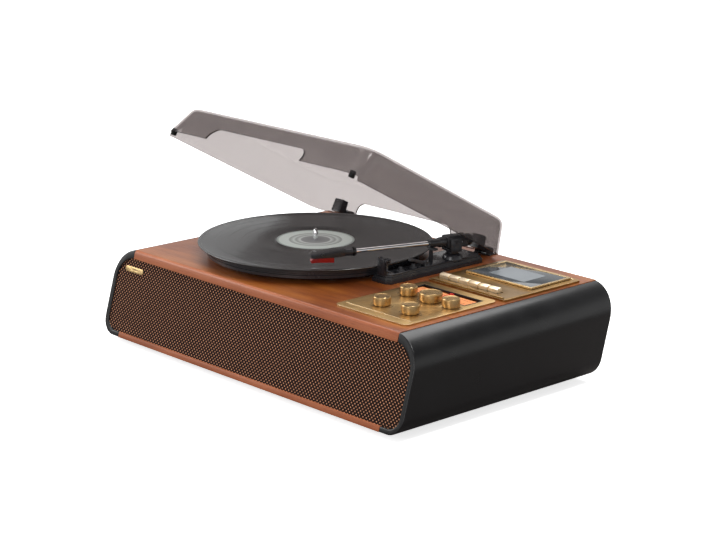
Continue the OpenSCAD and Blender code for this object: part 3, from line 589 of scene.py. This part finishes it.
def makeCabinet():
    top = softened("top_board", "topBoard", finishes["veneer"], 0.6, 3, smooth=40)
    # the nose faces turned to the front take the lighter copy of the same veneer: painted light
    secondMaterial(top, finishes["edgeVeneer"], lambda centre, normal: normal.y < -0.3 and centre.y < -140)
    softened("bottom_board", "bottomBoard", finishes["edgeVeneer"], 0.5)
    for side in ("left", "right"):
        softened(side + "_cap", side + "Cap", finishes["cap"], 1.5, 4,
                 lambda p: abs(p.x) > case["woodHalf"] + 1, smooth=40)
    softened("grille_board", "grilleBoard", finishes["hardboard"], 0)
    makeCloth()
    softened("badge", "badge", finishes["brass"], 0.25, 3)
    softened("back_panel", "backPanel", finishes["hardboard"], 0)
    softened("base_plate", "basePlate", finishes["hardboard"], 0.6)
    softened("feet", "feet", finishes["rubber"], 0.5)
    softened("screws", "screws", finishes["steel"], 0.25)
    softened("rear_jacks", "rearJacks", finishes["black"], 0.3)
    for side in ("left", "right"):
        softened(side + "_speaker", side + "Speaker", finishes["enamel"], 0.3)
        softened(side + "_cone", side + "Cone", finishes["paper"], 0.2)
    softened("main_board", "mainBoard", finishes["circuit"], 0.2, 1)


# --- turntable ---

spindlePlace = (-75, 7)
disc = {"under": 136.9, "top": 138.45, "bead": 138.95, "label": 139.0, "labelRadius": 50.2,
        "breaks": (129.5, 111.5, 94.0, 77.5), "breakWide": 1.3, "breakDeep": 0.14}


def makeRecord():
    rings = [(20, disc["under"]), (150, disc["under"]), (151, 137.5), (151, 138.2), (150.6, 138.7),
             (149.6, disc["bead"]),
             (147.6, disc["bead"]), (146.2, 138.6), (145.4, disc["top"])]
    for radius in disc["breaks"]:
        half, low = disc["breakWide"] / 2, disc["top"] - disc["breakDeep"]
        rings += [(radius + half + 0.25, disc["top"]), (radius + half, low), (radius - half, low),
                  (radius - half - 0.25, disc["top"])]
    rings += [(61.5, disc["top"]), (61.0, disc["top"] - 0.12), (52.2, disc["top"] - 0.12), (51.2, 138.9),
              (disc["labelRadius"], disc["label"]), (20, disc["label"] - 0.02), (3.7, disc["label"])]
    record = turned(rings, 192, centre=spindlePlace)
    centre = (spindlePlace[0] * mm, spindlePlace[1] * mm, disc["label"] * mm)
    finishPiece(record, "record", pressedVinyl(centre), ["record"], smooth=14)
    secondMaterial(record, printedLabel(centre), lambda spot, normal: normal.z > 0.5
                   and math.hypot(spot.x - spindlePlace[0],
                                  spot.y - spindlePlace[1]) < disc["labelRadius"] - 1)


def makeTurntable():
    platter = turned([(20, 131), (135.6, 131), (135.6, 124.6), (139.4, 124.2), (140, 124.8), (140, 128.4),
                      (139.2, 129.0), (139.2, 130.4), (140, 131.0), (140, 135.4), (139.2, 136.4),
                      (137, 136.8),
                      (20, 136.7), (3.7, 136.7)], 160, centre=spindlePlace)
    finishPiece(platter, "platter", finishes["black"], ["platter"], smooth=30)
    makeRecord()
    spindle = turned([(3.5, 96), (3.55, 146.4), (3.3, 148.4), (2.7, 150.6), (2.0, 152.4), (1.3, 153.5),
                      (0.5, 153.9)],
                     40, centre=spindlePlace)
    finishPiece(spindle, "spindle", finishes["chrome"], ["spindle"], smooth=40)
    softened("platter_bearing", "platterBearing", finishes["bearing"], 0.3)
    softened("motor", "motor", finishes["steel"], 0.5)
    softened("motor_pulley", "motorPulley", finishes["bearing"], 0.15)
    softened("drive_belt", "driveBelt", finishes["rubber"], 0)


# --- tonearm ---

pivotFrame = placed((83, 97, 152), ("Z", -13.4))
armFrame = pivotFrame @ placed(("X", -1.6))
headFrame = armFrame @ placed((0, -148, 0), ("Z", -21.2))
weight = {"start": 18.4, "finRadius": 7.7, "grooveRadius": 6.7, "fins": 3, "pitch": 1.9, "fin": 1.15}


def screwHead(place, radius=1.4, rise=0.5):
    # a round head with its slot, standing on the plane of the place
    head = turned([(radius, 0), (radius, rise * 0.6), (radius * 0.8, rise)], 20, place=place)
    slot = slab((-radius, -0.16, rise * 0.45), (radius, 0.16, rise * 2), 0, place=place)
    cutBy(head, slot)
    return head


def makeWeight():
    rings = [(3.2, 0), (weight["finRadius"], 0)]
    reach = 0.4
    for fin in range(weight["fins"]):
        rings += [(weight["finRadius"], reach + weight["fin"]),
                  (weight["grooveRadius"], reach + weight["fin"] + 0.15),
                  (weight["grooveRadius"], reach + weight["pitch"] - 0.15), (weight["finRadius"] - 0.15 * fin,
                                                                         reach + weight["pitch"])]
        reach += weight["pitch"]
    rings += [(6.3, 7.6), (4.8, 9.2), (2.8, 10.0), (0.6, 10.2)]
    body = turned(rings, 48, place=armFrame @ placed((0, weight["start"], 0), ("X", -90)))
    finishPiece(body, "counterweight", finishes["black"], ["counterweight"], smooth=32)


def makeTonearm():
    softened("arm_base", "armBase", finishes["black"], 0.45, 3, smooth=38)
    softened("arm_yoke", "armYoke", finishes["black"], 0.4, 3)
    cradle = copyOf("arm_cradle")
    bevelSharp(cradle, 0.7, 3)
    cap = turned([(4.6, 0), (4.6, 0.5), (4.2, 0.9), (3.0, 1.0)], 32, place=armFrame @ placed((0, 3, 7.6)))
    neck = [turned([(6.3, 0), (6.5, 0.3), (6.5, 0.9), (6.2, 1.2)], 40,
                   place=armFrame @ placed((0, y, 0), ("X", 90)))
            for y in (-14, -16.6, -19.2)]
    finishPiece(joined([cradle, cap, *neck]), "armCradle", finishes["black"], ["arm_cradle"])
    heads = [screwHead(armFrame @ placed((side * 8.3, 8, 0), ("Y", side * 90))) for side in (-1, 1)]
    finishPiece(joined(heads), "cradleScrews", finishes["steel"], rides="arm_cradle")
    softened("arm_tube", "armTube", finishes["chrome"], 0, smooth=40)
    makeWeight()
    softened("headshell", "headshell", finishes["black"], 0.5, 3)
    ring = turned([(5.6, 0), (5.8, 0.3), (5.8, 2.4), (5.5, 2.8)], 40,
                  place=armFrame @ placed((0, -141.5, 0), ("X", 90)))
    finishPiece(ring, "headCollar", finishes["enamel"], rides="headshell")
    lift = slab((8.2, -36, -2.6), (15.5, -33.4, -1.6), 0.35, 2, place=headFrame)
    tip = slab((14.2, -36, -2.6), (15.4, -33.4, 1.2), 0.35, 2, place=headFrame)
    finishPiece(joined([lift, tip]), "fingerLift", finishes["enamel"], rides="headshell")
    softened("cartridge", "cartridge", finishes["redPlastic"], 0.5, 3)
    softened("rest_clip", "restClip", finishes["black"], 0.25)
    softened("cue_lever", "cueLever", finishes["knobGrip"], 0.4, 3)
    softened("cue_lift", "cueLift", finishes["knobGrip"], 0.3)
    softened("speed_switch", "speedSwitch", finishes["knobGrip"], 0.3)
    softened("stop_switch", "stopSwitch", finishes["knobGrip"], 0.3)


# --- radio and amplifier controls ---

panelTop = 121
knobs = {"volume": (146, -41, 22), "bass": (157, -95, 22), "treble": (204.5, -95, 22),
         "source": (217, -41, 22),
         "tuning": (183.7, -41, 28)}
knobShape = {"low": 121.6, "tall": 11}
dial = {"x": 175, "y": -10.5, "wide": 100, "deep": 32, "top": 118.8, "frame": 1.5}


def makeKnob(name, x, y, wide):
    radius, low = wide / 2, knobShape["low"]
    high = low + knobShape["tall"]
    rings = [(2.9, 96), (2.9, low), (radius - 1.4, low), (radius - 1.4, low + 0.9), (radius - 0.5, low + 1.0),
             (radius - 0.25, low + 1.3), (radius - 0.05, high - 1.6), (radius - 0.2, high - 1.1),
             (radius - 0.9, high - 0.35),
             (radius - 1.3, high - 0.3), (radius - 1.55, high - 0.5), (radius - 1.9, high - 0.62),
             (radius * 0.3, high - 0.62), (0.8, high - 0.6)]
    knob = turned(rings, 96, centre=(x, y))
    centre = (x * mm, y * mm, low * mm)
    finishPiece(knob, name + "Knob", turnedGold(name + "KnobGold", centre, goldTurned), [name + "_knob"],
                smooth=32)
    mark = slab((x - 0.5, y - radius + 2.0, high - 0.75), (x + 0.5, y - radius + 5.4, high - 0.5), 0.06, 1)
    finishPiece(mark, name + "KnobMark", finishes["ink"], rides=name + "_knob")


def makeMarks():
    # short printed strokes in an arc on each side of every knob
    marks = []
    for x, y, wide in knobs.values():
        reach = wide / 2 + 3.2
        for side in (0, 180):
            for turn in range(-24, 25, 6):
                along = placed((x, y, panelTop), ("Z", side + turn), (reach, 0, 0))
                marks.append(slab((-0.35, -0.85, -0.05), (0.35, 0.85, 0.06), 0, place=along))
    finishPiece(joined(marks), "panelMarks", finishes["ink"], rides="control_panel", smooth=0)


def makeDial():
    softened("dial_scale", "dialScale", finishes["dial"], 0.2)
    left, right = dial["x"] - dial["wide"] / 2, dial["x"] + dial["wide"] / 2
    near, far = dial["y"] - dial["deep"] / 2, dial["y"] + dial["deep"] / 2
    low, high, wide = dial["top"], panelTop + 0.35, dial["frame"]
    frameBars = [slab((left, near, low), (right, near + wide, high), 0.3),
                 slab((left, far - wide * 0.5, low + 0.3), (right, far, high), 0.2),
                 slab((left, near, low), (left + wide, far, high), 0.3),
                 slab((right - wide, near, low), (right, far, high), 0.3)]
    finishPiece(joined(frameBars), "dialFrame", finishes["deepBlack"], rides="control_panel")
    ticks = []
    for y, step, tall in ((dial["y"] + 6.5, 4.4, 2.6), (dial["y"] - 4.5, 6.6, 2.6)):
        count = int((dial["wide"] - 14) / step)
        for i in range(count + 1):
            x = left + 7 + i * step
            long = tall * (1.7 if i % 4 == 0 else 1.0)
            ticks.append(slab((x - 0.22, y, low), (x + 0.22, y + long, low + 0.06), 0))
        ticks.append(slab((left + 6, y - 0.6, low), (right - 6, y - 0.2, low + 0.06), 0))
    finishPiece(joined(ticks), "dialTicks", finishes["dialInk"], rides="dial_scale", smooth=0)
    softened("dial_pointer", "dialPointer", finishes["pointer"], 0.2)


def isCutEdge(spot, normal, top):
    # the narrow bevels round a plate's upper edges
    return spot.z > top - 1 and 0.15 < normal.z < 0.98


def makeControls():
    panel = softened("control_panel", "controlPanel", finishes["panel"], 0.9, 3,
                     lambda p: p.z > panelTop - 0.2)
    secondMaterial(panel, finishes["cutEdge"], lambda spot, normal: isCutEdge(spot, normal, panelTop))
    softened("control_board", "controlBoard", finishes["circuit"], 0.2, 1)
    for name, (x, y, wide) in knobs.items():
        makeKnob(name, x, y, wide)
    makeMarks()
    makeDial()


# --- tape deck ---

tape = {"top": 121.5, "doorTop": 123.8, "windowTop": 123.5}


def makeTapeDeck():
    panel = softened("tape_panel", "tapePanel", finishes["tapePanel"], 0.7, 3,
                     lambda p: p.z > tape["top"] - 0.2)
    secondMaterial(panel, finishes["cutEdge"], lambda spot, normal: isCutEdge(spot, normal, tape["top"]))
    for word in ("record", "play", "rewind", "forward", "stop", "pause"):
        softened(word + "_key", word + "Key", finishes["keyGold"], 0.35, 3, lambda p: p.z > tape["top"] - 2.5)
    softened("tape_deck", "tapeWell", finishes["deck"], 0.3, 1)
    for side in ("left", "right"):
        softened(side + "_reel", side + "Reel", finishes["reel"], 0.2)
    softened("cassette_door", "cassetteDoor", finishes["brass"], 0.7, 3, lambda p: p.z > tape["doorTop"] - 1)
    softened("door_window", "doorWindow", finishes["window"], 0.3)
    pane = slab((146, 97, tape["windowTop"]), (205, 138, tape["windowTop"] + 0.22), 0.1, 1)
    finishPiece(pane, "doorPane", finishes["pane"], rides="door_window")


# --- lid ---

lidFrame = placed((0, 173.3, 125), ("X", -28.4), (0, -173.3, -125))
lidShape = {"x": -74, "half": 183, "back": 167.5, "front": -134.5, "rim": 120, "corner": 22, "wall": 2.5,
            "layers": [(5.5, 18, 6, 36), (6.1, 18.8, 6.6, 38.6), (7.4, 20.4, 7.9, 41.2),
                       (9.2, 22.3, 9.6, 43.2),
                       (11.6, 24.7, 11.8, 44.5), (14.4, 27.4, 14.4, 45)],
            "notchX": -81, "notchWide": 180, "notchRadius": 14, "notchTop": 142, "notchTall": 44,
            "notchRun": (-200, 230), "gap": 5, "gapDeep": 14,
            "hinges": (-198, 65)}


def makeLid():
    shape = lidShape
    middleY = (shape["back"] + shape["front"]) / 2
    depth = shape["back"] - shape["front"]
    bpy.ops.mesh.primitive_plane_add(size=1, location=(shape["x"] * mm, middleY * mm, shape["rim"] * mm))
    lid = bpy.context.object
    lid.scale = (2 * shape["half"] * mm, depth * mm, 1)
    bpy.ops.object.transform_apply(location=True, rotation=True, scale=True)
    bpy.ops.object.mode_set(mode="EDIT")
    bpy.ops.mesh.select_all(action="SELECT")
    bpy.ops.mesh.bevel(offset=shape["corner"] * mm, segments=12, affect="VERTICES")
    bpy.ops.mesh.select_all(action="SELECT")
    bpy.ops.mesh.select_mode(type="FACE")
    wide, deep, y, z = 2 * shape["half"], depth, middleY, shape["rim"]
    for side, front, back, height in shape["layers"]:
        newWide, newDeep = 2 * (shape["half"] - side), depth - front - back
        newY = middleY + (front - back) / 2
        newZ = shape["rim"] + height
        bpy.ops.mesh.extrude_region_move(TRANSFORM_OT_translate={"value": (0, (newY - y) * mm,
                                                                           (newZ - z) * mm)})
        bpy.ops.transform.resize(value=(newWide / wide, newDeep / deep, 1),
                                 center_override=(shape["x"] * mm, newY * mm, newZ * mm))
        wide, deep, y, z = newWide, newDeep, newY, newZ
    bpy.ops.mesh.select_all(action="SELECT")
    bpy.ops.mesh.normals_make_consistent(inside=False)
    bpy.ops.mesh.select_all(action="DESELECT")
    bpy.ops.object.mode_set(mode="OBJECT")
    for face in lid.data.polygons:
        face.select = face.normal.z < -0.9
    bpy.ops.object.mode_set(mode="EDIT")
    bpy.ops.mesh.delete(type="FACE")
    bpy.ops.object.mode_set(mode="OBJECT")
    skin = lid.modifiers.new("skin", "SOLIDIFY")
    skin.thickness = shape["wall"] * mm
    skin.offset = -1
    skin.use_even_offset = True
    bpy.ops.object.modifier_apply(modifier="skin")
    left = shape["notchX"] - shape["notchWide"] / 2
    right, high = left + shape["notchWide"], shape["notchTop"]
    near, far = shape["notchRun"]
    notch = slab((left, near, high - shape["notchTall"]), (right, far, high), 0)
    bevelSharp(notch, shape["notchRadius"], 12, lambda p: p.z > high - 1 and min(abs(p.x - left),
                                                                                 abs(p.x - right)) < 1)
    cutBy(lid, notch)
    step = slab((-300, shape["front"] - 20, shape["rim"] - 20),
                (200, shape["front"] + shape["gapDeep"], shape["rim"] + shape["gap"]), 0)
    cutBy(lid, step)
    for x in shape["hinges"]:
        recess = slab((x - 10.5, 150, shape["rim"] - 5), (x + 10.5, 172, shape["rim"] + 8), 0)
        cutBy(lid, recess)
    bevelSharp(lid, 0.45, 2, sharper=50)
    lid.data.materials.append(finishes["lid"])
    secondMaterial(lid, finishes["lidEdge"], lambda spot, normal: spot.z < shape["notchTop"] + 1 and (
        normal.z < -0.5 or (abs(normal.x) > 0.5 and left - 1 < spot.x < right + 1)))
    lid.matrix_world = lidFrame
    finishPiece(lid, "lid", None, ["lid"], smooth=32)


def makeLidFittings():
    pads = []
    for side in (-1, 1):
        x, y = lidShape["x"] + side * (lidShape["half"] - 13), lidShape["front"] + 11.5
        pads.append(slab((x - 3, y - 3.5, lidShape["rim"] + 1), (x + 3, y + 3, lidShape["rim"] + 10), 1.2, 3,
                         place=lidFrame))
    finishPiece(joined(pads), "lidPads", finishes["rubber"], rides="lid")
    softened("hinge_bases", "hingeBases", finishes["black"], 0.4, 3)
    arms = copyOf("hinge_arms")
    bevelSharp(arms, 0.6, 3)
    ribs = [slab((x - 8.3, 151.4, lidShape["rim"] + 2.4 + 4.1 * i),
                 (x + 8.3, 153, lidShape["rim"] + 4.8 + 4.1 * i),
                 0.4, 2, place=lidFrame) for x in lidShape["hinges"] for i in range(4)]
    finishPiece(joined([arms, *ribs]), "hingeArms", finishes["black"], ["hinge_arms"])


# --- build ---


makeFinishes()
makeCamera()
makeStudio()
print("studio ready")
for stage, work in (("cabinet", makeCabinet), ("turntable", makeTurntable), ("tonearm", makeTonearm),
                    ("controls", makeControls), ("tape deck", makeTapeDeck), ("lid", makeLid),
                    ("lid fittings", makeLidFittings)):
    work()
    print(stage, "done")
